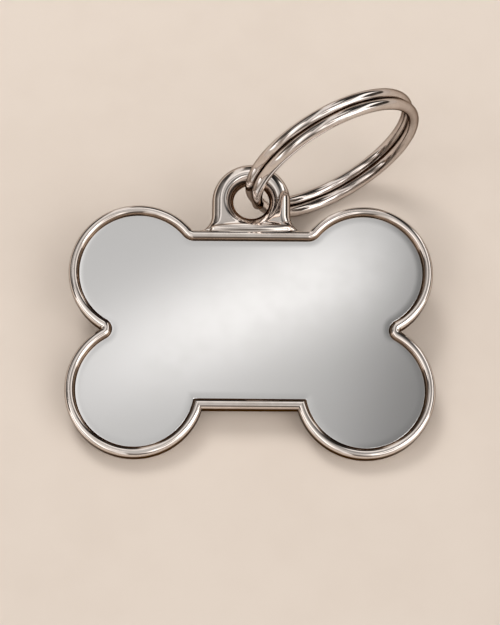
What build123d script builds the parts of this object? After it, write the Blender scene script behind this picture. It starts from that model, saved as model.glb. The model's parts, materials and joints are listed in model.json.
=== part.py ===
from build123d import *
import math
import os

# A bone-shaped pet id tag on its split ring. All sizes are in millimetres and all angles in degrees.
# The tag is drawn in its own plane: X across, Y towards the eyelet, Z out of the front face, with the
# middle of its thickness at Z = 0. The whole is then tipped to stand on its lower lobes and its ring.

# Bone outline
LOBE_RADIUS = 7.25
LOBE_X = 11.85  # lobe centres, to each side of the middle
WAIST_REACH = 3.7  # crease between an upper and a lower lobe, outwards from the lobe centres
TOP_DIP = 2.75  # outer edge of the bar under the eyelet, below the tops of the lobes
BOTTOM_RISE = 5.1  # outer edge of the lower bar, above the bottoms of the lobes
TOP_CORNER = 0.4  # rounding where the upper bar meets the lobes
WAIST_CREASE = 0.06  # rounding in the crease between an upper and a lower lobe

# Cast frame
RIM_WIDTH = 1.05
THICKNESS = 1.9
WEB = 0.4  # wall between the front and the back recess
CREST_FLAT = 0.03  # half of the flat left along the rounded crest of the rim
CORNER_RUN = 14.0  # how far the lower lobes' rim runs on past its corner before it is mitred

# Eyelet, which is part of the frame
EYELET_WIDTH = 2.25  # band round the hole
EYELET_THICKNESS = 1.9
EYELET_FLAT = 0.05  # half of the flat left along the eyelet's rounded edges
EYELET_FOOT = 1.5  # metal between the upper bar's edge and the hole
FLARE_RADIUS = 1.3  # blend from the eyelet's legs to the bar
FLARE_WIDTH = 0.9
FLARE_THICKNESS = 1.4
FOOT_WIDTH = 0.95  # low moulding along the eyelet's foot
FOOT_THICKNESS = 2.1
FOOT_OVERHANG = 0.15  # how far the moulding's ends pass the eyelet's legs
FOOT_SINK = 0.15  # how far the moulding runs down into the bar
HOLE_CLEARANCE = 0.66  # hole radius beyond the ring's two turns side by side

# Face plates and the adhesive films that hold them
PLATE = 0.25
ADHESIVE = 0.05
PLATE_JOINT = 0.04  # open joint round each plate
ADHESIVE_MARGIN = 0.3  # how far each film stops short of its plate's edge

# Split ring
RING_DIAMETER = 20.0  # outside
WIRE = 1.2
TURN_GAP = 0.08  # between the two turns
JOG_HALF_ANGLE = 14.0  # half of the bend that leads from one turn to the other
END_SETBACK = 3.0  # each free end stops this far from the bend

# Resting place of the ring in the eyelet
RING_AZIMUTH = 28.1  # way that the ring points from the eyelet, from X towards Y
RING_LEAN = 5.0  # lean of the ring's plane from square to the tag
RING_LIFT = 2.2  # ring's centre above the middle of the tag's thickness
RING_PLAY = 0.45  # free space between the wires and the hole's wall
JOG_PLACE = 206.0  # place of the bend round the ring, from the way that the ring points
MOST_TIP = 45.0  # the tag's tip on the ground is looked for from level up to this
TIP_HALVINGS = 60

# Worked-out sizes
LOBE_Y = math.sqrt((LOBE_RADIUS + WAIST_CREASE) ** 2 - WAIST_REACH**2)
TOP_EDGE = LOBE_Y + LOBE_RADIUS - TOP_DIP
BOTTOM_EDGE = LOBE_Y + LOBE_RADIUS - BOTTOM_RISE
CREST_RADIUS = RIM_WIDTH / 2 - CREST_FLAT
EYELET_ROUNDING = EYELET_THICKNESS / 2 - EYELET_FLAT
FLARE_ROUNDING = FLARE_WIDTH / 2 - CREST_FLAT
FOOT_END = FOOT_WIDTH / 2 - CREST_FLAT
FOOT_ROUNDING = FOOT_END - CREST_FLAT
TURN_PITCH = WIRE + TURN_GAP
COIL_RADIUS = (RING_DIAMETER - WIRE) / 2
HOLE_RADIUS = TURN_PITCH / 2 + WIRE / 2 + HOLE_CLEARANCE
EYELET_Y = TOP_EDGE + EYELET_FOOT + HOLE_RADIUS
EYELET_RADIUS = HOLE_RADIUS + EYELET_WIDTH
EYELET_CENTRE = Vector(0, EYELET_Y, 0)


def polar(centre, radius, angle):
    turn = math.radians(angle)
    return Vector(centre.X + radius * math.cos(turn), centre.Y + radius * math.sin(turn), 0)


def bone_bends():
    """The round stretches on the right of the outline, from the lower bar up to the upper bar.

    Each is its centre, its outer radius, +1 where the metal is on the centre's side or -1, and the
    angles where it begins and ends. Bends after the first meet their neighbours smoothly.
    """
    lower = Vector(LOBE_X, -LOBE_Y)
    upper = Vector(LOBE_X, LOBE_Y)
    waist = Vector(LOBE_X + WAIST_REACH, 0)
    corner_rise = TOP_EDGE + TOP_CORNER - LOBE_Y
    corner_run = math.sqrt((LOBE_RADIUS + TOP_CORNER) ** 2 - corner_rise**2)
    corner = Vector(LOBE_X - corner_run, TOP_EDGE + TOP_CORNER)
    to_waist = math.degrees(math.atan2(LOBE_Y, WAIST_REACH))
    to_corner = math.degrees(math.atan2(corner_rise, -corner_run))
    to_bar = -180 + math.degrees(math.asin((BOTTOM_EDGE - LOBE_Y) / LOBE_RADIUS))
    return [
        (lower, LOBE_RADIUS, 1, to_bar, to_waist),
        (waist, WAIST_CREASE, -1, 180 + to_waist, 180 - to_waist),
        (upper, LOBE_RADIUS, 1, -to_waist, to_corner),
        (corner, TOP_CORNER, -1, to_corner - 180, -90),
    ]


def bone_face(inset):
    """The bone outline as a face, moved inwards by inset."""
    edges = []
    for centre, outer, side, first, last in bone_bends():
        radius = outer - side * inset
        if not edges:
            first = -180 + math.degrees(math.asin((BOTTOM_EDGE - inset - LOBE_Y) / radius))
        stops = [polar(centre, radius, angle) for angle in (first, (first + last) / 2, last)]
        edges.append(ThreePointArc(*stops))
    lower_end = edges[0] @ 0
    upper_end = edges[-1] @ 1
    edges += [mirror(edge, about=Plane.YZ) for edge in edges]
    for end in (lower_end, upper_end):
        edges.append(Line((-end.X, end.Y), (end.X, end.Y)))
    return make_face(edges)


def bead_arc(centre, inner, first, last, section):
    """A bead swept round a centre, with its section's inner side at a radius, between two angles."""
    place = Plane(
        origin=polar(centre, inner, first),
        x_dir=polar(Vector(), 1, first),
        z_dir=polar(Vector(), 1, first - 90),
    )
    return revolve(place * section, Axis((centre.X, centre.Y, 0), (0, 0, 1)), last - first)


def bead_line(first_x, last_x, outer_y, inner_y, section):
    """A bead along X between two places, with its section's inner side at inner_y."""
    inward = math.copysign(1, inner_y - outer_y)
    place = Plane(origin=(first_x, inner_y, 0), x_dir=(0, -inward, 0), z_dir=(1, 0, 0))
    return extrude(place * section, last_x - first_x)


def beside_zero(width, height, rounding):
    """A rounded section that runs from X = 0 to its width."""
    return Pos(width / 2) * RectangleRounded(width, height, rounding)


def rim():
    """The bead round the bone: round stretches, two bars, and mitres where the lower bar meets them."""
    section = beside_zero(RIM_WIDTH, THICKNESS, CREST_RADIUS)
    middle = RIM_WIDTH / 2
    bends = bone_bends()
    stretches = []
    for centre, outer, side, first, last in bends:
        low, high = sorted((first, last))
        inner = outer - RIM_WIDTH if side > 0 else outer
        run = CORNER_RUN if not stretches else 0
        stretches.append(bead_arc(centre, inner, low - run, high, section))
    lobe = bends[0][0]
    upper_x = bends[-1][0].X
    upper_bar = bead_line(-upper_x, upper_x, TOP_EDGE, TOP_EDGE - RIM_WIDTH, section)
    lower_bar = bead_line(-LOBE_X, LOBE_X, -BOTTOM_EDGE, RIM_WIDTH - BOTTOM_EDGE, section)
    above = Pos(0, middle - BOTTOM_EDGE + LOBE_RADIUS / 2) * Box(2 * LOBE_X, LOBE_RADIUS, THICKNESS)
    stretches[0] -= above - lower_bar
    full_turn = bead_arc(lobe, LOBE_RADIUS - RIM_WIDTH, 0, 360, section)
    within = Pos(lobe) * Cylinder(LOBE_RADIUS - middle, THICKNESS) - full_turn
    lower_bar -= within
    lower_bar -= mirror(within, about=Plane.YZ)
    stretches += [mirror(stretch, about=Plane.YZ) for stretch in stretches]
    return stretches + [upper_bar, lower_bar]


def eyelet():
    """The eyelet: a round-topped lug with a round hole and flared feet, rooted inside the upper bar."""
    root_y = TOP_EDGE - RIM_WIDTH / 2
    leg = EYELET_Y - root_y
    face = Pos(0, EYELET_Y - leg / 2) * Rectangle(2 * EYELET_RADIUS, leg)
    dome = Pos(0, EYELET_Y) * Circle(EYELET_RADIUS)
    face += dome - Pos(0, EYELET_Y - EYELET_RADIUS) * Rectangle(2 * EYELET_RADIUS, 2 * EYELET_RADIUS)
    face -= Pos(0, EYELET_Y) * Circle(HOLE_RADIUS)
    lug = extrude(face, EYELET_THICKNESS / 2, both=True)
    levels = lug.edges().group_by(Axis.Z)
    rounded = [edge for edge in levels[0] + levels[-1] if edge.center().Y > TOP_EDGE]
    lug = fillet(rounded, EYELET_ROUNDING)
    section = beside_zero(FLARE_WIDTH, FLARE_THICKNESS, FLARE_ROUNDING)
    turn = Vector(EYELET_RADIUS + FLARE_RADIUS, TOP_EDGE + FLARE_RADIUS)
    flare = bead_arc(turn, FLARE_RADIUS, 180, 270, section)
    return [lug, flare, mirror(flare, about=Plane.YZ)]


def foot_moulding():
    """The low moulding along the eyelet's foot, with round ends."""
    outline = RectangleRounded(2 * (EYELET_RADIUS + FOOT_OVERHANG), FOOT_WIDTH, FOOT_END)
    bar = extrude(outline, FOOT_THICKNESS / 2, both=True)
    levels = bar.edges().group_by(Axis.Z)
    bar = fillet(levels[0] + levels[-1], FOOT_ROUNDING)
    return Pos(0, TOP_EDGE - FOOT_SINK + FOOT_WIDTH / 2) * bar


def cast_frame():
    """The casting: rim, web and eyelet."""
    web = extrude(bone_face(RIM_WIDTH / 2), WEB / 2, both=True)
    return web + rim() + eyelet() + foot_moulding()


def face_layer(inset, start, thickness, side):
    """A bone-shaped layer on one side of the web, from start outwards."""
    layer = extrude(bone_face(RIM_WIDTH + inset), side * thickness)
    return Pos(Z=side * start) * layer


def ring_point(angle, height, radius=COIL_RADIUS):
    turn = math.radians(angle)
    return Vector(radius * math.cos(turn), radius * math.sin(turn), height)


def turn_arcs(first, last, height):
    """One turn of the wire at a height along the ring's axis, as two arcs."""
    middle = (first + last) / 2
    spans = ((first, middle), (middle, last))
    return [
        ThreePointArc(ring_point(a, height), ring_point((a + b) / 2, height), ring_point(b, height))
        for a, b in spans
    ]


def ring_path():
    """The centre line of the split ring's wire, about Z, with its bend at angle 0."""
    half = TURN_PITCH / 2
    near = JOG_HALF_ANGLE
    far = 360 - JOG_HALF_ANGLE
    middle = ring_point(0, 0, math.hypot(COIL_RADIUS, half))
    into = ring_point(-near, -half)
    heading = Vector(-into.Y, into.X, 0)
    enter = TangentArc(into, middle, tangent=heading)
    leave = TangentArc(middle, ring_point(near, half), tangent=enter % 1)
    first_turn = turn_arcs(near + END_SETBACK, far, -half)
    second_turn = turn_arcs(near, far - END_SETBACK, half)
    return Wire(first_turn + [enter, leave] + second_turn)


def ring_frame():
    """The ring's centre, the way it points and its axis, in the tag's own plane."""
    azimuth = math.radians(RING_AZIMUTH)
    lean = math.radians(RING_LEAN)
    outward = Vector(math.cos(azimuth), math.sin(azimuth), 0)
    flat = Vector(math.sin(azimuth), -math.cos(azimuth), 0)
    axis = flat * math.cos(lean) + Vector(0, 0, math.sin(lean))
    wire_place = HOLE_RADIUS - WIRE / 2 - RING_PLAY
    wire_reach = math.sqrt(wire_place**2 - (TURN_PITCH / 2) ** 2)
    reach = wire_reach + math.sqrt(COIL_RADIUS**2 - RING_LIFT**2)
    centre = EYELET_CENTRE + outward * reach + Vector(0, 0, RING_LIFT)
    return Plane(origin=centre, x_dir=outward, z_dir=axis)


def split_ring():
    path = ring_path()
    section = Plane(origin=path @ 0, z_dir=path % 0) * Circle(WIRE / 2)
    coil = sweep(section, path=path)
    share = coil.volume / (section.area * path.length)
    print(f"split ring: wire {path.length:.2f} mm, volume share {share:.4f}")
    print(f"split ring: least gap between its turns {least_gap(path):.3f} mm")
    return ring_frame().location * Rot(Z=JOG_PLACE) * coil


def least_gap(path, steps=720):
    """The least free distance from the wire to itself, between places at least half a turn apart."""
    points = [path @ (i / steps) for i in range(steps + 1)]
    apart = steps // 4
    spans = [(points[i] - points[j]).length for i in range(steps) for j in range(i + apart, steps + 1)]
    return min(spans) - WIRE


def prop_angle():
    """The tip about X at which the lower lobes and the ring all stand on the ground."""
    ring = ring_frame()
    low, high = 0.0, math.radians(MOST_TIP)
    for _ in range(TIP_HALVINGS):
        tip = (low + high) / 2
        up = Vector(0, math.sin(tip), math.cos(tip))
        slant = abs(ring.z_dir.dot(up))
        ring_height = ring.origin.dot(up) - slant * TURN_PITCH / 2 - WIRE / 2
        ring_height -= COIL_RADIUS * math.sqrt(1 - slant**2)
        lobe_height = -(LOBE_Y + LOBE_RADIUS - CREST_RADIUS) * up.Y - CREST_RADIUS
        lobe_height -= (THICKNESS / 2 - CREST_RADIUS) * up.Z
        if ring_height < lobe_height:
            low = tip
        else:
            high = tip
    return math.degrees(low)


def tag_nodes():
    """Every piece, in the tag's own plane."""
    film_start = WEB / 2
    plate_start = film_start + ADHESIVE
    film_inset = PLATE_JOINT + ADHESIVE_MARGIN
    nodes = {"cast_frame": cast_frame()}
    for name, side in (("front", 1), ("back", -1)):
        nodes[f"{name}_adhesive"] = face_layer(film_inset, film_start, ADHESIVE, side)
        nodes[f"{name}_plate"] = face_layer(PLATE_JOINT, plate_start, PLATE, side)
    nodes["split_ring"] = split_ring()
    return nodes


def ground_place(nodes):
    """The move that tips the tag and puts the middle of its footprint at the origin."""
    tip = Rot(X=prop_angle())
    box = Compound([tip * shape for shape in nodes.values()]).bounding_box()
    return Pos(-box.center().X, -box.center().Y, -box.min.Z) * tip


NODES = tag_nodes()
PLACE = ground_place(NODES)
os.makedirs("parts", exist_ok=True)
for node, shape in NODES.items():
    export_step(PLACE * shape, f"parts/{node}.step")
print(f"tipped by {prop_angle():.2f} degrees")
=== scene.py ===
"""The looks of a bone-shaped pet id tag: a cast frame with a bead rim, satin plates and a split ring."""

import json
import math

import bpy
import numpy as np
from mathutils import Matrix, Quaternion, Vector


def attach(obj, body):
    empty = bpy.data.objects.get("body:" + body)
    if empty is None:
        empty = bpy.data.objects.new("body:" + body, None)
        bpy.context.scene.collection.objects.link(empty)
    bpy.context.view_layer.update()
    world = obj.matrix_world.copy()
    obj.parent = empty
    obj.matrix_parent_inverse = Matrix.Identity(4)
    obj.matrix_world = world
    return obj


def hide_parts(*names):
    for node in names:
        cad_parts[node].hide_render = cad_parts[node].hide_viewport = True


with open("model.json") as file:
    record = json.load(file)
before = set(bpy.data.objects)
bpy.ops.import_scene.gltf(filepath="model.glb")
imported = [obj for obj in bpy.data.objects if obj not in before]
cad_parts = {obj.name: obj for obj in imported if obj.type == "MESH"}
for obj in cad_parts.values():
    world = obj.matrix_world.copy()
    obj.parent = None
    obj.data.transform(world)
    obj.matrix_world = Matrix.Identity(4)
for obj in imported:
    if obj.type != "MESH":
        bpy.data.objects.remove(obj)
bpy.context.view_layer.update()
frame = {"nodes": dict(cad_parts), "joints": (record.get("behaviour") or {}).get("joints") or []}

# Sizes of the tag in millimetres, in its own plane: X across, Y towards the eyelet, Z out of the front
MM = 0.001  # in metres
LOBE_RADIUS = 7.25
LOBE_X = 11.85  # lobe centres, to each side of the middle
WAIST_REACH = 3.7  # crease between an upper and a lower lobe, outwards from the lobe centres
TOP_DIP = 2.75  # outer edge of the bar under the eyelet, below the tops of the lobes
BOTTOM_RISE = 5.1  # outer edge of the lower bar, above the bottoms of the lobes
TOP_CORNER = 0.4  # rounding where the upper bar meets the lobes
WAIST_CREASE = 0.06  # rounding in the crease between an upper and a lower lobe
RIM_WIDTH = 1.05
THICKNESS = 1.9
WEB = 0.4  # wall between the front and the back recess
CREST_FLAT = 0.03  # half of the flat left along the rounded crest of the rim
EYELET_WIDTH = 2.25  # band round the hole
EYELET_THICKNESS = 1.9
EYELET_FOOT = 1.5  # metal between the upper bar's edge and the hole
HOLE_RADIUS = 1.9
FOOT_WIDTH = 0.95  # moulding along the eyelet's foot
FOOT_THICKNESS = 2.1
FOOT_OVERHANG = 0.15  # how far the moulding's ends pass the eyelet's legs
FOOT_CROWN = 0.25  # how far the moulding's face falls from its middle to its ends
FOOT_SINK = 0.15  # how far the moulding runs down into the bar
PLATE = 0.25
ADHESIVE = 0.05
PLATE_JOINT = 0.04  # open joint round each plate
PILLOW_DROP = 0.013  # how far a plate falls at its edge
PILLOW_RUN = 0.9  # width of the border that falls
PILLOW_POWER = 3  # how much of the fall is gathered at the edge

# Split ring in millimetres and degrees
RING_DIAMETER = 20.0  # outside
WIRE = 1.2
TURN_GAP = 0.08  # between the two turns
JOG_HALF_ANGLE = 14.0  # half of the bend that leads from one turn to the other
END_SETBACK = 3.0  # each free end stops this far from the bend
RING_AZIMUTH = 28.1  # way that the ring points from the eyelet, from X towards Y
RING_LEAN = 5.0  # lean of the ring's plane from square to the tag
RING_LIFT = 2.2  # ring's centre above the middle of the tag's thickness
RING_PLAY = 0.45  # free space between the wires and the hole's wall
JOG_PLACE = 206.0  # place of the bend round the ring, from the way that the ring points

# Worked-out sizes
LOBE_Y = math.sqrt((LOBE_RADIUS + WAIST_CREASE) ** 2 - WAIST_REACH**2)
TOP_EDGE = LOBE_Y + LOBE_RADIUS - TOP_DIP
BOTTOM_EDGE = LOBE_Y + LOBE_RADIUS - BOTTOM_RISE
CREST_RADIUS = RIM_WIDTH / 2 - CREST_FLAT
EYELET_Y = TOP_EDGE + EYELET_FOOT + HOLE_RADIUS
EYELET_RADIUS = HOLE_RADIUS + EYELET_WIDTH
FOOT_ROUNDING = FOOT_WIDTH / 2 - 2 * CREST_FLAT
TURN_PITCH = WIRE + TURN_GAP
COIL_RADIUS = (RING_DIAMETER - WIRE) / 2

# Fineness of the meshes
BEND_STEP = math.radians(1.6)  # round the lobes
CREASE_STEPS = 24
BAR_STEPS = 24
SECTION_STEPS = 12
PILLOW_STEPS = 14
CASTING_STEP = 0.07  # grid of the eyelet, in millimetres
COIL_STEPS = 900
WIRE_STEPS = 40

# Blends cast into the foot of the eyelet, in millimetres
FLARE_RADIUS = 2.0
FLARE_START = 0.15  # how far below the bar's edge the flares start
FOOT_BLEND = 0.3  # between the eyelet and its moulding
BAR_BLEND = 0.25  # between the moulding and the bar
SKIN = 0.004  # how far the blended surface is drawn in
CASTING_HALF_LENGTH = 5.8  # stretch of bar that is blended in, to each side
CASTING_MARGIN = 0.3  # free space round the casting in which its mesh is worked out

# Painted shade in the patina's colour, by the plates, in the hole, creases and groove and on the outer
# sides: where it starts and where it is full, in millimetres unless it says otherwise
JOINT_PAINTED_SHADE = (0.64, 1.03)  # across the bead from its outer side
HOLE_PAINTED_SHADE = (0.7, 0.2)  # from the hole's wall
SIDE_PAINTED_SHADE = (0.78, 0.45)  # from the middle of the bead's thickness
EYELET_SIDE_PAINTED_SHADE = (0.62, 0.35)  # from the middle of the eyelet's thickness
SIDE_SHARE = 0.8  # most painted shade that the outer sides have
CREASE_PAINTED_SHADE = (0.65, 1.0)  # by how alike the distances to the two forms of a crease are
GROOVE_PAINTED_SHADE = (0.36, 0.16)  # from the middle of the groove between the ring's turns

# Camera: where it stands from the tag's middle, in millimetres and degrees, and where that middle lies in
# the frame, in pixels
FRAME_SIZE = (500, 625)
TAG_PIXEL = (250.5, 331.02)
PIXELS_PER_MM = 9.605
CAMERA_DISTANCE = 180.0
CAMERA_TILT = 15.42
CAMERA_ROLL = 0.424
SENSOR = 36.0
CLIP = (0.001, 10.0)  # nearest and farthest that the camera sees, in metres


def tag_place():
    """The matrix from the tag's own plane, in millimetres, to the row frame, in metres."""
    joint = frame["joints"][0]
    normal = Vector(joint["axis"]).normalized()
    across = Vector((1, 0, 0))
    along = normal.cross(across)
    centre = Vector(joint["pos_m"]) - along * EYELET_Y * MM
    turn = Matrix((across, along, normal)).transposed().to_4x4()
    return Matrix.Translation(centre) @ turn @ Matrix.Scale(MM, 4)


TAG = tag_place()


def new_piece(name, mesh, material, body, node):
    """A smooth-shaded piece that rides on a body in place of a solid."""
    mesh.shade_smooth()
    mesh.materials.clear()
    mesh.materials.append(material)
    piece = bpy.data.objects.new(name, mesh)
    bpy.context.scene.collection.objects.link(piece)
    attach(piece, body)
    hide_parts(node)


# Cast frame

def bone_bends():
    """The round stretches of the right half, from the lower bar up to the upper bar.

    Each is its centre, its outer radius, +1 where the metal is on the centre's side or -1, and the
    angles where it begins and ends.
    """
    corner_rise = TOP_EDGE + TOP_CORNER - LOBE_Y
    corner_run = math.sqrt((LOBE_RADIUS + TOP_CORNER) ** 2 - corner_rise**2)
    to_waist = math.atan2(LOBE_Y, WAIST_REACH)
    to_corner = math.atan2(corner_rise, -corner_run)
    to_bar = math.asin((BOTTOM_EDGE - LOBE_Y) / LOBE_RADIUS) - math.pi
    return [
        ((LOBE_X, -LOBE_Y), LOBE_RADIUS, 1, to_bar, to_waist),
        ((LOBE_X + WAIST_REACH, 0), WAIST_CREASE, -1, math.pi + to_waist, math.pi - to_waist),
        ((LOBE_X, LOBE_Y), LOBE_RADIUS, 1, -to_waist, to_corner),
        ((LOBE_X - corner_run, TOP_EDGE + TOP_CORNER), TOP_CORNER, -1, to_corner - math.pi, -math.pi / 2),
    ]


def right_outline(inset):
    """The right half of the bone's outline, moved inwards, from the lower bar up to the upper bar."""
    points = []
    for centre, radius, side, first, last in bone_bends():
        radius -= side * inset
        steps = max(CREASE_STEPS, round(abs(last - first) / BEND_STEP))
        if not points:
            first = math.asin((BOTTOM_EDGE - inset - LOBE_Y) / radius) - math.pi
        angles = np.linspace(first, last, steps + 1)
        bend = np.array(centre) + radius * np.stack([np.cos(angles), np.sin(angles)], 1)
        points.extend(bend[1:] if points else bend)
    return np.array(points)


def bone_outline(inset):
    """The whole outline as a closed loop, whose points match those of the loop at any other inset."""
    right = right_outline(inset)
    left = right[::-1] * (-1, 1)
    upper_bar = np.linspace(right[-1], left[0], BAR_STEPS + 1)[1:-1]
    lower_bar = np.linspace(left[-1], right[0], BAR_STEPS + 1)[1:-1]
    return np.concatenate([right, upper_bar, left, lower_bar])


def rounded_section(width, height, rounding):
    """A rounded rectangle as rows of the distance across, from 0 to its width, and the height."""
    quarter = np.linspace(0, math.pi / 2, SECTION_STEPS + 1)
    corners = []
    for number, (far, top) in enumerate(((True, True), (False, True), (False, False), (True, False))):
        across = width - rounding if far else rounding
        up = height / 2 - rounding if top else rounding - height / 2
        angles = quarter + number * math.pi / 2
        corners.append(np.stack([across + rounding * np.cos(angles), up + rounding * np.sin(angles)], 1))
    return np.concatenate(corners)


def rim_bead():
    """The bead round the bone: each line of its section is the outline at that inset."""
    section = rounded_section(RIM_WIDTH, THICKNESS, CREST_RADIUS)
    loops = [bone_outline(inset) for inset, _ in section]
    count = len(loops[0])
    points = np.concatenate([np.insert(loop, 2, up, 1) for loop, (_, up) in zip(loops, section)])
    line, place = np.indices((len(section), count)).reshape(2, -1)
    after = (line + 1) % len(section)
    beyond = (place + 1) % count
    rows = [line * count + place, after * count + place, after * count + beyond, line * count + beyond]
    return points, np.stack(rows, 1).tolist()


def mitre_points():
    """The numbers of the bead's points on the two mitres, where the lower bar meets the lobes."""
    section = rounded_section(RIM_WIDTH, THICKNESS, CREST_RADIUS)
    lines = np.arange(len(section)) * len(bone_outline(0))
    left_end = 2 * len(right_outline(0)) + BAR_STEPS - 2
    return np.concatenate([lines, lines + left_end])


def plate_web():
    """The thin wall inside the bead that carries the plates."""
    loop = bone_outline(RIM_WIDTH / 2)
    count = len(loop)
    points = np.concatenate([np.insert(loop, 2, level, 1) for level in (-WEB / 2, WEB / 2)])
    place = np.arange(count)
    beyond = (place + 1) % count
    faces = np.stack([place, beyond, count + beyond, count + place], 1).tolist()
    return points, faces + [place[::-1].tolist(), (count + place).tolist()]


def pillowed_plate(side):
    """A face plate whose border falls gently to its joint with the rim; side is 1 in front, -1 behind."""
    face = WEB / 2 + ADHESIVE + PLATE
    rows = [(0.0, face - PLATE)]
    for share in np.linspace(0, 1, PILLOW_STEPS + 1):
        rows.append((PILLOW_RUN * share, face - PILLOW_DROP * (1 - share) ** PILLOW_POWER))
    loops = [bone_outline(RIM_WIDTH + PLATE_JOINT + inset) for inset, _ in rows]
    count = len(loops[0])
    points = np.concatenate([np.insert(loop, 2, up, 1) for loop, (_, up) in zip(loops, rows)])
    line, place = np.indices((len(rows) - 1, count)).reshape(2, -1)
    beyond = (place + 1) % count
    start = line * count
    corners = [start + place, start + beyond, start + count + beyond, start + count + place]
    faces = np.stack(corners, 1).tolist()
    faces += [np.arange(count)[::-1].tolist(), ((len(rows) - 1) * count + np.arange(count)).tolist()]
    mesh = bpy.data.meshes.new("plate_panel")
    mesh.from_pydata(points.tolist(), [], faces)
    if side < 0:
        mesh.transform(Matrix.Rotation(math.pi, 4, "Y"))
    mesh.transform(TAG)
    return mesh


def rounded_cut(walls, rounding):
    """Distance to what lies inside every wall, with the edges between the walls rounded."""
    beyond = [wall + rounding for wall in walls]
    outside = np.sqrt(sum(np.maximum(part, 0) ** 2 for part in beyond))
    return outside + np.minimum(np.maximum.reduce(beyond), 0) - rounding


def nearness(first, second, size):
    """How alike two distance fields are: 1 where they are the same, 0 where they differ by the size."""
    return np.maximum(size - np.abs(first - second), 0) / size


def soft_union(first, second, size):
    """The union of two distance fields, with a soft blend where they meet."""
    return np.minimum(first, second) - nearness(first, second, size) ** 2 * size / 4


def fillet_union(first, second, radius):
    """The union of two distance fields, with a round fillet where they meet."""
    near = np.hypot(np.maximum(radius - first, 0), np.maximum(radius - second, 0))
    return np.maximum(np.minimum(first, second), radius) - near


def eyelet_parts(points):
    """Distances to the eyelet, to its foot moulding and to the bar under them."""
    x, y, z = np.moveaxis(points, -1, 0)
    bar_y = TOP_EDGE - RIM_WIDTH / 2
    foot_y = TOP_EDGE - FOOT_SINK + FOOT_WIDTH / 2
    rise = y - EYELET_Y
    dome = np.where(rise > 0, np.hypot(x, rise), np.abs(x)) - EYELET_RADIUS
    face = fillet_union(dome, y - TOP_EDGE + FLARE_START, FLARE_RADIUS)
    face = np.maximum.reduce([face, HOLE_RADIUS - np.hypot(x, rise), TOP_EDGE - FLARE_START - y])
    off_middle = np.maximum(face * 2 / EYELET_WIDTH + 1, 0)
    lug = (np.hypot(off_middle, z * 2 / EYELET_THICKNESS) - 1) * EYELET_THICKNESS / 2
    foot_end = EYELET_RADIUS + FOOT_OVERHANG
    crowned = FOOT_THICKNESS / 2 - FOOT_CROWN * (x / foot_end) ** 2
    foot_walls = [np.abs(x) - foot_end, np.abs(y - foot_y) - FOOT_WIDTH / 2, np.abs(z) - crowned]
    foot = rounded_cut(foot_walls, FOOT_ROUNDING)
    bar = rounded_cut([np.abs(y - bar_y) - RIM_WIDTH / 2, np.abs(z) - THICKNESS / 2], CREST_RADIUS)
    return lug, foot, bar


def eyelet_distance(points):
    """Distance to the eyelet, its foot moulding and the bar under them, blended as one casting."""
    lug, foot, bar = eyelet_parts(points)
    whole = soft_union(soft_union(lug, foot, FOOT_BLEND), bar, BAR_BLEND) + SKIN
    return np.maximum(whole, np.abs(points[..., 0]) - CASTING_HALF_LENGTH)


def net_faces(inside, number):
    """The four-sided faces of a surface net, one for each grid edge that the surface crosses."""
    faces = []
    for axis in range(3):
        order = (axis, (axis + 1) % 3, (axis + 2) % 3)
        nodes = inside.transpose(order)
        cells = number.transpose(order)
        a, b, c = np.nonzero(nodes[:-1, 1:-1, 1:-1] != nodes[1:, 1:-1, 1:-1])
        corners = [cells[a, b, c], cells[a, b + 1, c], cells[a, b + 1, c + 1], cells[a, b, c + 1]]
        quads = np.stack(corners, 1)
        leaving = nodes[a, b + 1, c + 1]
        faces.append(np.where(leaving[:, None], quads, quads[:, ::-1]))
    return np.concatenate(faces)


def settle(points, distance, rounds=4, probe=1e-3, least_steepness=0.25):
    """The points moved on to the surface where the distance is zero."""
    for _ in range(rounds):
        slopes = [distance(points + probe * axis) - distance(points - probe * axis) for axis in np.eye(3)]
        slope = np.stack(slopes, -1) / (2 * probe)
        steepness = np.maximum((slope**2).sum(-1), least_steepness)
        points = points - slope * (distance(points) / steepness)[:, None]
    return points


def surface_net(distance, low, high, step, smoothings=4):
    """A mesh of the surface where a distance field is zero."""
    axes = [np.arange(first, last + step, step) for first, last in zip(low, high)]
    inside = distance(np.stack(np.meshgrid(*axes, indexing="ij"), -1)) < 0
    size = [len(axis) - 1 for axis in axes]
    corners = [inside[i:i + size[0], j:j + size[1], k:k + size[2]] for i, j, k in np.ndindex(2, 2, 2)]
    filled = sum(corner.astype(int) for corner in corners)
    crossed = (filled > 0) & (filled < len(corners))
    number = np.full(crossed.shape, -1)
    number[crossed] = np.arange(crossed.sum())
    faces = net_faces(inside, number)
    sides = np.concatenate([faces[:, [i, (i + 1) % 4]] for i in range(4)])
    points = settle(np.array(low) + (np.argwhere(crossed) + 0.5) * step, distance)
    neighbours = np.bincount(sides[:, 0])[:, None]
    for _ in range(smoothings):
        total = np.zeros_like(points)
        np.add.at(total, sides[:, 0], points[sides[:, 1]])
        points = settle(total / neighbours, distance)
    return points, faces.tolist()


def eyelet_casting():
    """The eyelet with its flares and foot moulding, rooted in the upper bar."""
    side = CASTING_HALF_LENGTH + CASTING_MARGIN
    bottom = TOP_EDGE - RIM_WIDTH - CASTING_MARGIN
    top = EYELET_Y + EYELET_RADIUS + CASTING_MARGIN
    depth = FOOT_THICKNESS / 2 + CASTING_MARGIN
    return surface_net(eyelet_distance, (-side, bottom, -depth), (side, top, depth), CASTING_STEP)


def eased(value, start, full):
    """Values eased from 0 at the start to 1 where the change is full."""
    share = np.clip((value - start) / (full - start), 0, 1)
    return share**2 * (3 - 2 * share)


def rim_painted_shade():
    """How much painted shade each point of the bead has: full where the bead meets the plates, less on its
    outer side.
    """
    inset, up = rounded_section(RIM_WIDTH, THICKNESS, CREST_RADIUS).T
    side = SIDE_SHARE * eased(np.abs(up), *SIDE_PAINTED_SHADE)
    return np.repeat(np.maximum(eased(inset, *JOINT_PAINTED_SHADE), side), len(bone_outline(0)))


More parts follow.
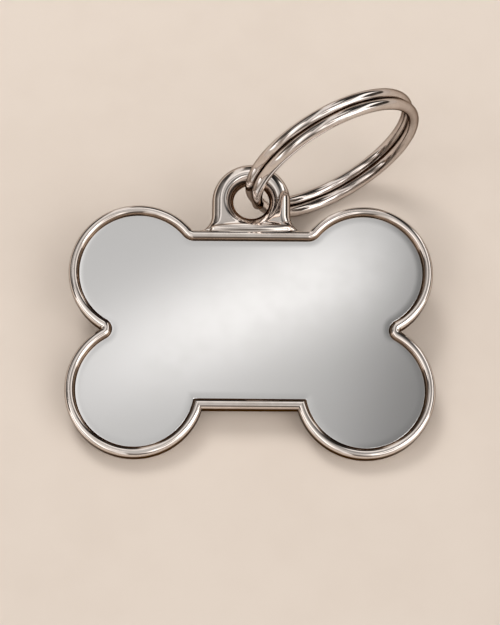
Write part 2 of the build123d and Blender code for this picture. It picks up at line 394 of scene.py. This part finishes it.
def eyelet_painted_shade(points):
    """How much painted shade the eyelet has: full in its hole, in its creases and by the plate, less on its
    side.
    """
    lug, foot, bar = eyelet_parts(points)
    return np.maximum.reduce([
        eased(np.hypot(points[:, 0], points[:, 1] - EYELET_Y) - HOLE_RADIUS, *HOLE_PAINTED_SHADE),
        eased(nearness(lug, foot, FOOT_BLEND), *CREASE_PAINTED_SHADE),
        eased(nearness(foot, bar, BAR_BLEND), *CREASE_PAINTED_SHADE),
        eased(TOP_EDGE - points[:, 1], *JOINT_PAINTED_SHADE),
        SIDE_SHARE * eased(np.abs(points[:, 2]), *EYELET_SIDE_PAINTED_SHADE),
    ])


def frame_mesh():
    """Rim, web and eyelet as one mesh, with crisp edges on the rim's mitres and its patina and painted
    shade stored.
    """
    bead = rim_bead()
    web = plate_web()
    casting = eyelet_casting()
    points = []
    faces = []
    for part_points, part_faces in (bead, web, casting):
        start = len(points)
        points += part_points.tolist()
        faces += [[start + corner for corner in face] for face in part_faces]
    mesh = bpy.data.meshes.new("bone_frame")
    mesh.from_pydata(points, [], faces)
    mesh.transform(TAG)
    patina_and_shade = np.concatenate([rim_painted_shade(), np.ones(len(web[0])), eyelet_painted_shade(casting[0])])
    mesh.attributes.new("patina_and_shade", "FLOAT", "POINT").data.foreach_set("value", patina_and_shade)
    ends = np.zeros(2 * len(mesh.edges), dtype=np.int32)
    mesh.edges.foreach_get("vertices", ends)
    crisp = np.isin(ends.reshape(-1, 2), mitre_points()).all(1)
    mesh.attributes.new("sharp_edge", "BOOLEAN", "EDGE").data.foreach_set("value", crisp)
    return mesh


# Node trees

def feed(tree, socket, value):
    """A socket set to a value, or joined to another node's socket."""
    if isinstance(value, bpy.types.NodeSocket):
        tree.links.new(value, socket)
    else:
        socket.default_value = value


def put(tree, kind, inputs=None, **settings):
    """A new node with its settings and what is fed to its inputs."""
    made = tree.nodes.new(kind)
    for name, value in settings.items():
        setattr(made, name, value)
    for name, value in (inputs or {}).items():
        feed(tree, made.inputs[name], value)
    return made


def maths(tree, operation, *values):
    """The result of a sum on sockets or numbers."""
    return put(tree, "ShaderNodeMath", dict(enumerate(values)), operation=operation).outputs[0]


def ease(tree, value, start, stop, low=0.0, high=1.0):
    """A value eased from low to high as another goes from start to stop."""
    inputs = {"Value": value, "From Min": start, "From Max": stop, "To Min": low, "To Max": high}
    return put(tree, "ShaderNodeMapRange", inputs, interpolation_type="SMOOTHSTEP").outputs[0]


def mix_colours(tree, share, first, second):
    """One colour turning into another by a share."""
    inputs = {"Factor": share, "A": first, "B": second}
    made = put(tree, "ShaderNodeMix", data_type="RGBA")
    for name, value in inputs.items():
        feed(tree, next(s for s in made.inputs if s.name == name and s.enabled), value)
    return next(s for s in made.outputs if s.enabled)


def new_group(kind, name, inputs, outputs):
    """An empty node group with named sockets, and its input and output nodes."""
    tree = bpy.data.node_groups.new(name, kind)
    for socket, socket_type, value in inputs:
        made = tree.interface.new_socket(socket, in_out="INPUT", socket_type=socket_type)
        if value is not None:
            made.default_value = value
    for socket, socket_type in outputs:
        tree.interface.new_socket(socket, in_out="OUTPUT", socket_type=socket_type)
    return tree, tree.nodes.new("NodeGroupInput"), tree.nodes.new("NodeGroupOutput")


# Split ring

def wound_place(tree, size):
    """Where the wire runs: round and round, with a step sideways from one turn to the other."""
    along = put(tree, "GeometryNodeSplineParameter").outputs["Factor"]
    sweep = maths(tree, "SUBTRACT", size["End Angle"], size["Start Angle"])
    angle = maths(tree, "MULTIPLY_ADD", along, sweep, size["Start Angle"])
    half = maths(tree, "MULTIPLY", size["Pitch"], 0.5)
    below = maths(tree, "MULTIPLY", half, -1.0)
    height = ease(tree, angle, size["Jog Start"], size["Jog End"], below, half)
    across = maths(tree, "MULTIPLY", maths(tree, "COSINE", angle), size["Coil Radius"])
    up = maths(tree, "MULTIPLY", maths(tree, "SINE", angle), size["Coil Radius"])
    return put(tree, "ShaderNodeCombineXYZ", {"X": across, "Y": up, "Z": height}).outputs[0]


def groove_painted_shade(tree, size):
    """How much painted shade the wire has, by how far it is from the middle of the groove between the
    turns.
    """
    position = put(tree, "GeometryNodeInputPosition").outputs[0]
    spot = put(tree, "ShaderNodeSeparateXYZ", {0: position}).outputs
    squares = [maths(tree, "MULTIPLY", spot[axis], spot[axis]) for axis in range(3)]
    spread = maths(tree, "SQRT", maths(tree, "ADD", squares[0], squares[1]))
    off = maths(tree, "SUBTRACT", spread, size["Coil Radius"])
    from_groove = maths(tree, "SQRT", maths(tree, "MULTIPLY_ADD", off, off, squares[2]))
    return ease(tree, from_groove, size["Darkening Start"], size["Darkening Full"])


def wire_tree():
    """A node tree that winds a round wire two turns and steps it sideways between them."""
    sizes = ["Coil Radius", "Wire Radius", "Pitch", "Start Angle", "End Angle", "Jog Start", "Jog End"]
    sizes += ["Darkening Start", "Darkening Full"]
    inputs = [("Geometry", "NodeSocketGeometry", None)]
    inputs += [(size, "NodeSocketFloat", 1.0) for size in sizes]
    inputs += [("Steps", "NodeSocketInt", COIL_STEPS), ("Sides", "NodeSocketInt", WIRE_STEPS)]
    inputs += [("Material", "NodeSocketMaterial", None)]
    outputs = [("Geometry", "NodeSocketGeometry")]
    tree, given, result = new_group("GeometryNodeTree", "wound_wire", inputs, outputs)
    size = given.outputs
    line = put(tree, "GeometryNodeCurvePrimitiveLine").outputs[0]
    path = put(tree, "GeometryNodeResampleCurve", {"Curve": line, "Count": size["Steps"]}).outputs[0]
    inputs = {"Geometry": path, "Position": wound_place(tree, size)}
    wound = put(tree, "GeometryNodeSetPosition", inputs).outputs[0]
    inputs = {"Resolution": size["Sides"], "Radius": size["Wire Radius"]}
    section = put(tree, "GeometryNodeCurvePrimitiveCircle", inputs).outputs[0]
    inputs = {"Curve": wound, "Profile Curve": section, "Fill Caps": True}
    tube = put(tree, "GeometryNodeCurveToMesh", inputs).outputs[0]
    # Painted shade in the groove between the turns, stored on the wire
    inputs = {"Geometry": tube, "Name": "patina_and_shade", "Value": groove_painted_shade(tree, size)}
    stored = put(tree, "GeometryNodeStoreNamedAttribute", inputs, data_type="FLOAT", domain="POINT")
    real = put(tree, "GeometryNodeRealizeInstances", {"Geometry": stored.outputs[0]})
    inputs = {"Geometry": real.outputs[0], "Material": size["Material"]}
    dressed = put(tree, "GeometryNodeSetMaterial", inputs)
    tree.links.new(dressed.outputs[0], result.inputs[0])
    return tree


def ring_place():
    """The matrix from the coil's own frame to the tag's plane, in millimetres."""
    azimuth = math.radians(RING_AZIMUTH)
    lean = math.radians(RING_LEAN)
    outward = Vector((math.cos(azimuth), math.sin(azimuth), 0))
    flat = Vector((math.sin(azimuth), -math.cos(azimuth), 0))
    axis = flat * math.cos(lean) + Vector((0, 0, math.sin(lean)))
    wire_place = HOLE_RADIUS - WIRE / 2 - RING_PLAY
    reach = math.sqrt(wire_place**2 - (TURN_PITCH / 2) ** 2) + math.sqrt(COIL_RADIUS**2 - RING_LIFT**2)
    centre = Vector((0, EYELET_Y, 0)) + outward * reach + Vector((0, 0, RING_LIFT))
    turn = Matrix((outward, axis.cross(outward), axis)).transposed().to_4x4()
    return Matrix.Translation(centre) @ turn @ Matrix.Rotation(math.radians(JOG_PLACE), 4, "Z")


def wire_sizes(material):
    """What the node tree winds this ring's wire from, with angles from the middle of the bend."""
    jog = math.radians(JOG_HALF_ANGLE)
    start = math.radians(JOG_HALF_ANGLE + END_SETBACK)
    return {
        "Coil Radius": COIL_RADIUS,
        "Wire Radius": WIRE / 2,
        "Pitch": TURN_PITCH,
        "Start Angle": start,
        "End Angle": 4 * math.pi - start,
        "Jog Start": 2 * math.pi - jog,
        "Jog End": 2 * math.pi + jog,
        "Darkening Start": GROOVE_PAINTED_SHADE[0],
        "Darkening Full": GROOVE_PAINTED_SHADE[1],
        "Steps": COIL_STEPS,
        "Sides": WIRE_STEPS,
        "Material": material,
    }


def ring_mesh(material):
    """The wound wire as a plain mesh in its place."""
    tree = wire_tree()
    values = wire_sizes(material)
    worker = bpy.data.objects.new("wire_worker", bpy.data.meshes.new("wire_worker"))
    bpy.context.scene.collection.objects.link(worker)
    winding = worker.modifiers.new("winding", "NODES")
    winding.node_group = tree
    for item in tree.interface.items_tree:
        if item.in_out == "INPUT" and item.name in values:
            winding[item.identifier] = values[item.name]
    graph = bpy.context.evaluated_depsgraph_get()
    mesh = bpy.data.meshes.new_from_object(worker.evaluated_get(graph))
    worker.modifiers.remove(winding)
    bpy.data.objects.remove(worker)
    mesh.name = "split_ring_wire"
    mesh.transform(TAG @ ring_place())
    return mesh


# Finishes

# Colours and roughness, first where a surface is clean and then where it is marked, and scales per metre
# Dark patina colour, also painted in as shade in the hollows and on the outer sides
PATINA_AND_SHADE = (0.235, 0.162, 0.112, 1.0)
EDGE_SHADE = (0.2, 0.155, 0.12, 1.0)  # nickel seen at a glancing angle
CAST_COLOURS = ((0.765, 0.705, 0.665, 1.0), (0.675, 0.61, 0.565, 1.0))
CAST_ROUGHNESS = (0.04, 0.08)
CAST_MARKS = 260.0
CAST_SCRATCHES = 2200.0
WIRE_COLOURS = ((0.71, 0.65, 0.615, 1.0), (0.61, 0.545, 0.505, 1.0))
WIRE_ROUGHNESS = (0.03, 0.07)
WIRE_MARKS = 330.0
WIRE_SCRATCHES = 2600.0
SATIN_COLOURS = ((0.84, 0.84, 0.845, 1.0), (0.825, 0.825, 0.825, 1.0))
SATIN_ROUGHNESS = (0.095, 0.105)
SATIN_MARKS = 90.0
SATIN_GRAIN = 24000.0
FILM_COLOURS = ((0.86, 0.85, 0.8, 1.0), (0.74, 0.72, 0.66, 1.0))
FILM_ROUGHNESS = (0.35, 0.5)
FILM_MARKS = 900.0
FILM_BUBBLES = 2600.0

# Marks: the noise at which they begin and are full, and a relief's strength and its depth in metres
MARK_FINER = 5.3  # scale of the fine patches against that of the broad ones
MARK_FINE_SHARE = 0.35
MARK_NOISE = (0.38, 0.66)
SCRATCH_TURNS = ((0.0, 0.0, 0.5), (0.0, 0.4, 1.6), (0.5, 0.0, 2.5))  # in radians
SCRATCH_STRETCH = (0.05, 1.0, 1.0)  # noise drawn out along one way
SCRATCH_NOISE = (0.66, 0.74)
SCRATCH_RELIEF = (0.12, 1e-5)
GRAIN_RELIEF = (0.05, 2e-7)
BUBBLE_RELIEF = (0.2, 2e-5)


def new_finish(name):
    """An empty material, its tree and its output."""
    material = bpy.data.materials.new(name)
    material.use_nodes = True
    tree = material.node_tree
    tree.nodes.clear()
    return material, tree, tree.nodes.new("ShaderNodeOutputMaterial")


def object_place(tree):
    """The place on a piece, in metres."""
    return put(tree, "ShaderNodeTexCoord").outputs["Object"]


def noise(tree, place, scale, detail):
    """Cloudy noise at a scale."""
    inputs = {"Vector": place, "Scale": scale, "Detail": detail}
    return put(tree, "ShaderNodeTexNoise", inputs).outputs[0]


def relief(tree, height, strength, depth, **settings):
    """The surface's normal with a fine relief."""
    inputs = {"Height": height, "Strength": strength, "Distance": depth}
    return put(tree, "ShaderNodeBump", inputs, **settings).outputs[0]


def set_surface(tree, output, inputs):
    """A material's surface made from its values."""
    shader = put(tree, "ShaderNodeBsdfPrincipled", inputs)
    tree.links.new(shader.outputs[0], output.inputs[0])


def handling_group():
    """Cloudy marks from fingers and cloth: soft patches of two sizes."""
    inputs = [("Place", "NodeSocketVector", None), ("Scale", "NodeSocketFloat", 1.0)]
    outputs = [("Marks", "NodeSocketFloat")]
    tree, given, result = new_group("ShaderNodeTree", "handling_marks", inputs, outputs)
    place, scale = given.outputs[:2]
    broad = noise(tree, place, scale, detail=3.0)
    finer = maths(tree, "MULTIPLY", scale, MARK_FINER)
    fine = noise(tree, place, finer, detail=2.0)
    broad_part = maths(tree, "MULTIPLY", broad, 1 - MARK_FINE_SHARE)
    both = maths(tree, "MULTIPLY_ADD", fine, MARK_FINE_SHARE, broad_part)
    tree.links.new(ease(tree, both, *MARK_NOISE), result.inputs[0])
    return tree


def scratch_group():
    """Hairline scratches in three directions."""
    inputs = [("Place", "NodeSocketVector", None), ("Scale", "NodeSocketFloat", 1.0)]
    outputs = [("Scratches", "NodeSocketFloat")]
    tree, given, result = new_group("ShaderNodeTree", "hairline_scratches", inputs, outputs)
    place, scale = given.outputs[:2]
    total = None
    for turn in SCRATCH_TURNS:
        inputs = {"Vector": place, "Rotation": turn, "Scale": SCRATCH_STRETCH}
        turned = put(tree, "ShaderNodeMapping", inputs).outputs[0]
        lines = noise(tree, turned, scale, detail=1.0)
        mask = ease(tree, lines, *SCRATCH_NOISE)
        total = mask if total is None else maths(tree, "MAXIMUM", total, mask)
    tree.links.new(total, result.inputs[0])
    return tree


def shared(tree, group, **inputs):
    """A shared effect placed in a material with its own values."""
    return put(tree, "ShaderNodeGroup", inputs, node_tree=group).outputs[0]


HANDLING = handling_group()
SCRATCHES = scratch_group()


def nickel_finish(name, colours, roughness, mark_scale, scratch_scale):
    """Polished nickel: clouded by handling, scratched by use and darkened with patina and painted shade in
    its hollows and, on the cast frame, on its outer sides.
    """
    material, tree, output = new_finish(name)
    place = object_place(tree)
    marks = shared(tree, HANDLING, Place=place, Scale=mark_scale)
    scratches = shared(tree, SCRATCHES, Place=place, Scale=scratch_scale)
    # Painted shade: the dark patina colour mixed in where the stored mask says
    patina_and_shade = put(tree, "ShaderNodeAttribute", attribute_name="patina_and_shade").outputs["Fac"]
    wiped = mix_colours(tree, marks, *colours)
    dull = ease(tree, marks, 0.0, 1.0, *roughness)
    inputs = {
        "Base Color": mix_colours(tree, patina_and_shade, wiped, PATINA_AND_SHADE),
        "Metallic": 1.0,
        "Roughness": maths(tree, "MULTIPLY_ADD", scratches, roughness[1], dull),
        "Specular Tint": EDGE_SHADE,
        "Normal": relief(tree, scratches, *SCRATCH_RELIEF, invert=True),
    }
    set_surface(tree, output, inputs)
    return material


def satin_finish():
    """Satin plate: an even sheen with a fine grain, faintly clouded by handling."""
    material, tree, output = new_finish("satin_plate_bright")
    place = object_place(tree)
    marks = shared(tree, HANDLING, Place=place, Scale=SATIN_MARKS)
    grain = noise(tree, place, SATIN_GRAIN, detail=2.0)
    inputs = {
        "Base Color": mix_colours(tree, marks, *SATIN_COLOURS),
        "Metallic": 1.0,
        "Roughness": ease(tree, marks, 0.0, 1.0, *SATIN_ROUGHNESS),
        "Normal": relief(tree, grain, *GRAIN_RELIEF),
    }
    set_surface(tree, output, inputs)
    return material


def film_finish():
    """A clear adhesive film, faintly milky, with tiny bubbles."""
    material, tree, output = new_finish("adhesive_film_milky")
    place = object_place(tree)
    marks = shared(tree, HANDLING, Place=place, Scale=FILM_MARKS)
    bubbles = put(tree, "ShaderNodeTexVoronoi", {"Vector": place, "Scale": FILM_BUBBLES})
    inputs = {
        "Base Color": mix_colours(tree, marks, *FILM_COLOURS),
        "Roughness": ease(tree, marks, 0.0, 1.0, *FILM_ROUGHNESS),
        "Normal": relief(tree, bubbles.outputs["Distance"], *BUBBLE_RELIEF),
    }
    set_surface(tree, output, inputs)
    return material


NICKEL = nickel_finish("polished_nickel_cast", CAST_COLOURS, CAST_ROUGHNESS, CAST_MARKS, CAST_SCRATCHES)
RING_NICKEL = nickel_finish(
    "polished_nickel_wire", WIRE_COLOURS, WIRE_ROUGHNESS, WIRE_MARKS, WIRE_SCRATCHES
)
SATIN = satin_finish()
FILM = film_finish()


def dress_node(node, material):
    """A new finish on a solid that keeps its shape."""
    mesh = frame["nodes"][node].data
    mesh.materials.clear()
    mesh.materials.append(material)


new_piece("bone_frame", frame_mesh(), NICKEL, "tag", "cast_frame")
new_piece("split_ring_wire", ring_mesh(RING_NICKEL), RING_NICKEL, "ring", "split_ring")
for name, side in (("front_plate", 1), ("back_plate", -1)):
    new_piece(name + "_panel", pillowed_plate(side), SATIN, "tag", name)
for node in ("front_adhesive", "back_adhesive"):
    dress_node(node, FILM)


# Floor, light and camera, in metres

FLOOR_SIZE = 1.2
FLOOR_COLOURS = ((0.675, 0.595, 0.525, 1.0), (0.655, 0.574, 0.504, 1.0))
FLOOR_ROUGHNESS = 0.9
FLOOR_SHINE = 0.2
FLOOR_MARKS = 40.0
LAMP_PLACE = (-0.16, 0.35, 0.46)
LAMP_AIM = (0, 0, 0.005)
LAMP_SIZE = 0.22
LAMP_POWER = 1.4
LAMP_COLOUR = (1.0, 0.985, 0.97)


def add_floor():
    """A plain pale floor."""
    mesh = bpy.data.meshes.new("floor")
    half = FLOOR_SIZE / 2
    corners = [(-half, -half, 0), (half, -half, 0), (half, half, 0), (-half, half, 0)]
    mesh.from_pydata(corners, [], [(0, 1, 2, 3)])
    material, tree, output = new_finish("floor_cream")
    marks = shared(tree, HANDLING, Place=object_place(tree), Scale=FLOOR_MARKS)
    colour = mix_colours(tree, marks, *FLOOR_COLOURS)
    inputs = {"Base Color": colour, "Roughness": FLOOR_ROUGHNESS, "Specular IOR Level": FLOOR_SHINE}
    set_surface(tree, output, inputs)
    mesh.materials.append(material)
    floor = bpy.data.objects.new("floor", mesh)
    bpy.context.scene.collection.objects.link(floor)


def sky_direction(azimuth, elevation):
    """A direction from its angle round from +X and its height above the horizon, in degrees."""
    a, e = math.radians(azimuth), math.radians(elevation)
    return Vector((math.cos(a) * math.cos(e), math.sin(a) * math.cos(e), math.sin(e)))


# The bare room: its brightness from the bright side to the dark side, by how far a direction leans that
# way, and its tints. A lean or a height is how much of a direction of length 1 lies that way.
DARK_SIDE = -15.0  # its azimuth in degrees
ROOM_STEPS = [
    (-1.0, 0.35), (-0.2, 0.6), (0.0, 0.58), (0.03, 0.55), (0.05, 0.48),
    (0.065, 0.35), (0.09, 0.22), (0.2, 0.25), (0.4, 0.5), (1.0, 0.45),
]
ROOM_TINT = (1.0, 0.975, 0.95, 1.0)
SHADE_TINT = (1.0, 0.84, 0.7, 1.0)
LIGHT_TINT = (1.0, 0.98, 0.96, 1.0)
TINT_LIGHTS = (0.25, 1.3)  # brightness low down, from the tint of shade to that of light
TINT_HEIGHTS = (0.1, 0.97)  # from these two to the room's tint overhead

# Shade by height and towards the back, the pale foot of the walls, and soft patches between floor and top
SHADE_HEIGHTS = (0.25, 0.97)
HORIZON_SHADE = 0.3  # share of the light that is left low down
BACK_SHADE = (0.15, 0.4)
BACK_SHARE = 0.36  # share of the light that is left at the back
WALL_FOOT = (0.2, 0.15)
WALL_LIGHT = 0.7
PATCH_SCALE = 1.6
PATCH_SEED = 0.0
PATCH_EDGE = (0.42, 0.58)
PATCH_LIGHT = (0.25, 1.8)  # what a dark and a bright patch multiply the light by
PATCH_LOW = (0.2, 0.45)  # heights where the patches begin and are full
PATCH_HIGH = (0.97, 0.9)  # heights where they end and are full to

# Light strips: the azimuth that each lies in, the leans where it starts, is full, is full to and ends, how
# far it reaches to either side, and its brightness. The front one has a gap, and its light is patchy.
FRONT_STRIP = (270, (0.16, 0.23, 0.42, 1.0), 2.0)
FRONT_LIGHT = 1.9
FRONT_GAP = (0.16, 0.05)
FRONT_GAP_LIGHT = 0.6
STRIPS = [
    (90, (0.22, 0.32, 0.52, 0.62), 0.15, 1.3),
    (180, (0.105, 0.19, 0.3, 0.4), 2.0, 1.05),
    (10, (0.6, 0.66, 0.78, 0.84), 0.5, 1.8),
]
STRIP_EDGE = 0.08

# A round window, by the angles from its middle where it starts and is full, and a band across overhead
WINDOW = sky_direction(205, 52)
WINDOW_SPREAD = (15.0, 10.0)
WINDOW_LIGHT = 1.8
BAND_SLOPE = 23.0  # azimuth that it runs in
BAND_MIDDLE = 0.0585  # its place across that
BAND_EDGE = 0.044  # from its middle to each edge
BAND_FADES = ((-0.15, 0.02), (0.14, 0.065))  # along it, where each end starts and is full
BAND_LIGHT = 1.3


def leaning(tree, look, direction):
    """How far the looked-at direction leans along another."""
    inputs = {0: look, 1: direction}
    return put(tree, "ShaderNodeVectorMath", inputs, operation="DOT_PRODUCT").outputs["Value"]


def lit(tree, light, mask, brightness):
    """The light brought to a brightness where a mask is."""
    return maths(tree, "MULTIPLY_ADD", mask, maths(tree, "SUBTRACT", brightness, light), light)


def room_shade(tree, look, height):
    """The brightness of the bare room: a bright side and a dark side, darker low down and at the back."""
    lean = leaning(tree, look, sky_direction(DARK_SIDE, 0))
    ramp = put(tree, "ShaderNodeValToRGB", {"Fac": maths(tree, "MULTIPLY_ADD", lean, 0.5, 0.5)})
    ramp.color_ramp.interpolation = "EASE"
    while len(ramp.color_ramp.elements) < len(ROOM_STEPS):
        ramp.color_ramp.elements.new(0.5)
    for element, (place, brightness) in zip(ramp.color_ramp.elements, ROOM_STEPS):
        element.position = (place + 1) / 2
        element.color = (brightness, brightness, brightness, 1.0)
    low = ease(tree, height, *SHADE_HEIGHTS, HORIZON_SHADE, 1.0)
    back = ease(tree, leaning(tree, look, (0.0, 1.0, 0.0)), *BACK_SHADE, 1.0, BACK_SHARE)
    return maths(tree, "MULTIPLY", ramp.outputs[0], maths(tree, "MULTIPLY", low, back))


def strip_mask(tree, look, azimuth, steps, reach):
    """Where a strip of light is, by how far a direction leans its way and to its side."""
    first, full, full_to, last = steps
    lean = leaning(tree, look, sky_direction(azimuth, 0))
    aside = maths(tree, "ABSOLUTE", leaning(tree, look, sky_direction(azimuth + 90, 0)))
    along = maths(tree, "MULTIPLY", ease(tree, lean, first, full), ease(tree, lean, last, full_to))
    return maths(tree, "MULTIPLY", along, ease(tree, aside, reach + STRIP_EDGE, reach))


def band_mask(tree, look):
    """Where the bright band crosses overhead, fading towards its ends."""
    across = leaning(tree, look, sky_direction(BAND_SLOPE + 90, 0))
    along = leaning(tree, look, sky_direction(BAND_SLOPE, 0))
    band = ease(tree, maths(tree, "ABSOLUTE", maths(tree, "SUBTRACT", across, BAND_MIDDLE)), BAND_EDGE, 0.0)
    for end, full in BAND_FADES:
        band = maths(tree, "MULTIPLY", band, ease(tree, along, end, full))
    return band


def patchy(tree, light, look, height):
    """The light broken into soft patches, except overhead and near the floor."""
    inputs = {"Vector": look, "Scale": PATCH_SCALE, "W": PATCH_SEED, "Detail": 1.0}
    patches = put(tree, "ShaderNodeTexNoise", inputs, noise_dimensions="4D").outputs[0]
    share = maths(tree, "MULTIPLY", ease(tree, height, *PATCH_LOW), ease(tree, height, *PATCH_HIGH))
    change = maths(tree, "SUBTRACT", ease(tree, patches, *PATCH_EDGE, *PATCH_LIGHT), 1.0)
    return maths(tree, "MULTIPLY", light, maths(tree, "MULTIPLY_ADD", share, change, 1.0))


def add_room():
    """A soft room with a bright and a dark side, light strips, a window and one bright band overhead."""
    world = bpy.data.worlds.new("room")
    bpy.context.scene.world = world
    world.use_nodes = True
    tree = world.node_tree
    tree.nodes.clear()
    look = put(tree, "ShaderNodeTexCoord").outputs["Generated"]
    height = leaning(tree, look, (0.0, 0.0, 1.0))
    front = strip_mask(tree, look, *FRONT_STRIP)
    sideways = maths(tree, "ABSOLUTE", leaning(tree, look, (1.0, 0.0, 0.0)))
    gap = maths(tree, "MULTIPLY", front, ease(tree, sideways, *FRONT_GAP))
    light = lit(tree, room_shade(tree, look, height), front, FRONT_LIGHT)
    light = patchy(tree, light, look, height)
    light = lit(tree, light, band_mask(tree, look), BAND_LIGHT)
    for azimuth, steps, reach, brightness in STRIPS:
        light = lit(tree, light, strip_mask(tree, look, azimuth, steps, reach), brightness)
    spread = [math.cos(math.radians(angle)) for angle in WINDOW_SPREAD]
    light = lit(tree, light, ease(tree, leaning(tree, look, WINDOW), *spread), WINDOW_LIGHT)
    light = lit(tree, light, gap, FRONT_GAP_LIGHT)
    light = lit(tree, light, ease(tree, height, *WALL_FOOT), WALL_LIGHT)
    low_tint = mix_colours(tree, ease(tree, light, *TINT_LIGHTS), SHADE_TINT, LIGHT_TINT)
    tint = mix_colours(tree, ease(tree, height, *TINT_HEIGHTS), low_tint, ROOM_TINT)
    backdrop = put(tree, "ShaderNodeBackground", {"Strength": light, "Color": tint})
    put(tree, "ShaderNodeOutputWorld", {"Surface": backdrop.outputs[0]})


def add_lamp(name, place, aim, size, power, colour):
    """A square soft box of light that mirrors don't show."""
    data = bpy.data.lights.new(name, "AREA")
    data.shape = "SQUARE"
    data.size = size
    data.energy = power
    data.color = colour
    lamp = bpy.data.objects.new(name, data)
    lamp.location = place
    lamp.rotation_mode = "QUATERNION"
    lamp.rotation_quaternion = (Vector(aim) - Vector(place)).to_track_quat("-Z", "Y")
    lamp.visible_glossy = False
    bpy.context.scene.collection.objects.link(lamp)


def add_camera():
    """The photograph's camera: its distance, tilt, roll and framing, with no lens shift."""
    middle = TAG.translation
    across = Vector((1, 0, 0))
    normal = Vector(TAG.col[2][:3]).normalized()
    back = Quaternion(across, math.radians(CAMERA_TILT)) @ normal
    up = back.cross(across)
    place = middle + back * CAMERA_DISTANCE * MM
    sideways = (FRAME_SIZE[0] / 2 - TAG_PIXEL[0]) / PIXELS_PER_MM
    upwards = (TAG_PIXEL[1] - FRAME_SIZE[1] / 2) / PIXELS_PER_MM
    aim = middle + (across * sideways + up * upwards) * MM
    depth = (place - aim).normalized()
    roll = math.radians(CAMERA_ROLL)
    side = across * math.cos(roll) + up * math.sin(roll)
    side = (side - depth * side.dot(depth)).normalized()
    data = bpy.data.cameras.new("camera")
    data.sensor_width = SENSOR
    data.lens = PIXELS_PER_MM * CAMERA_DISTANCE * SENSOR / FRAME_SIZE[1]
    data.clip_start, data.clip_end = CLIP
    camera = bpy.data.objects.new("camera", data)
    turn = Matrix((side, depth.cross(side), depth)).transposed().to_4x4()
    camera.matrix_world = Matrix.Translation(place) @ turn
    bpy.context.scene.collection.objects.link(camera)
    bpy.context.scene.camera = camera


add_floor()
add_room()
add_lamp("back_light", LAMP_PLACE, LAMP_AIM, LAMP_SIZE, LAMP_POWER, LAMP_COLOUR)
add_camera()
bpy.context.scene.view_settings.view_transform = "Standard"
